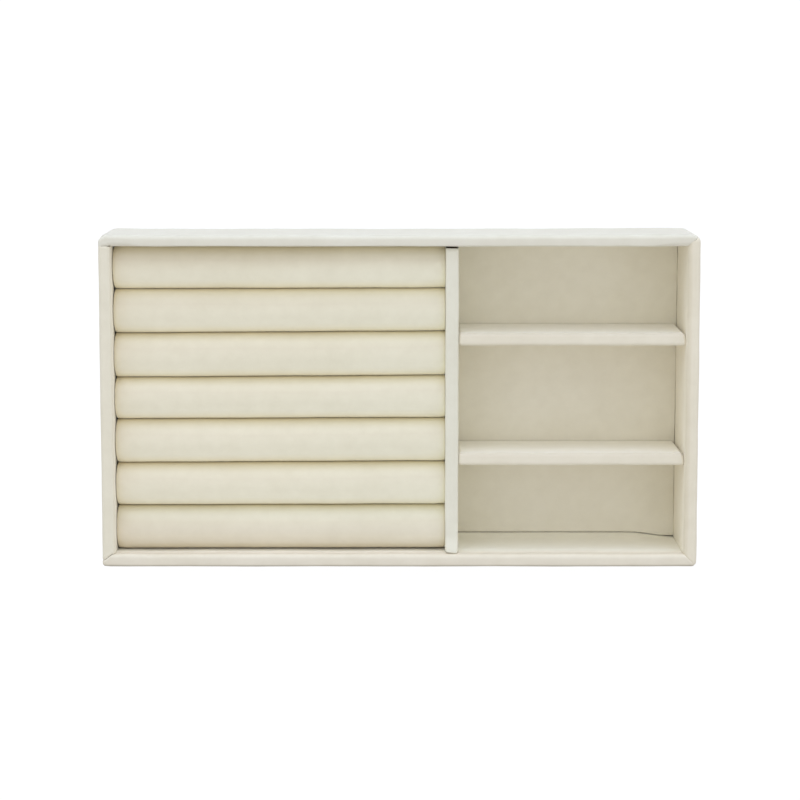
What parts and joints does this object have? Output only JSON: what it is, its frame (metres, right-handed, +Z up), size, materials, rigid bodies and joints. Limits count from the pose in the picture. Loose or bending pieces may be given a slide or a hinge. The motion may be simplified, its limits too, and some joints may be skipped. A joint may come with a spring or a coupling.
{
  "type": "jewelry tray",
  "caption": "Open rectangular velvet-covered tray with padded ring rolls beside divided compartments for jewelry.",
  "frame": {"origin": "middle of the footprint, on the surface the tray rests on", "axes": "+X along the length from the ring rolls to the compartments, +Y from front wall to back wall, +Z up out of the opening"},
  "size_m": [0.2394, 0.1338, 0.04],
  "materials": {
    "wall_velvet": "short-pile velvet, cream",
    "divider_velvet": "short-pile velvet, cream",
    "lining_velvet": "short-pile velvet, cream",
    "roll_velvet": "short-pile velvet over foam, cream",
    "board": "raw fibreboard",
    "card": "raw greyboard",
    "foam": "open-cell foam",
    "felt": "pressed felt"
  },
  "bodies": {
    "root": {"base_felt": "felt", "base_board": "board", "floor_card": "card", "floor_wrap": "lining_velvet", "ring_bed_card": "card", "back_wall_board": "board", "back_wall_wrap": "wall_velvet", "left_wall_board": "board", "left_wall_wrap": "wall_velvet", "front_wall_board": "board", "front_wall_wrap": "wall_velvet", "right_wall_board": "board", "right_wall_wrap": "wall_velvet", "long_divider_board": "board", "long_divider_wrap": "divider_velvet", "cross_divider_back_board": "board", "cross_divider_back_wrap": "divider_velvet", "cross_divider_front_board": "board", "cross_divider_front_wrap": "divider_velvet", "ring_roll_foam_1": "foam", "ring_roll_cover_1": "roll_velvet", "ring_roll_foam_2": "foam", "ring_roll_cover_2": "roll_velvet", "ring_roll_foam_3": "foam", "ring_roll_cover_3": "roll_velvet", "ring_roll_foam_4": "foam", "ring_roll_cover_4": "roll_velvet", "ring_roll_foam_5": "foam", "ring_roll_cover_5": "roll_velvet", "ring_roll_foam_6": "foam", "ring_roll_cover_6": "roll_velvet", "ring_roll_foam_7": "foam", "ring_roll_cover_7": "roll_velvet"}
  },
  "joints": []
}
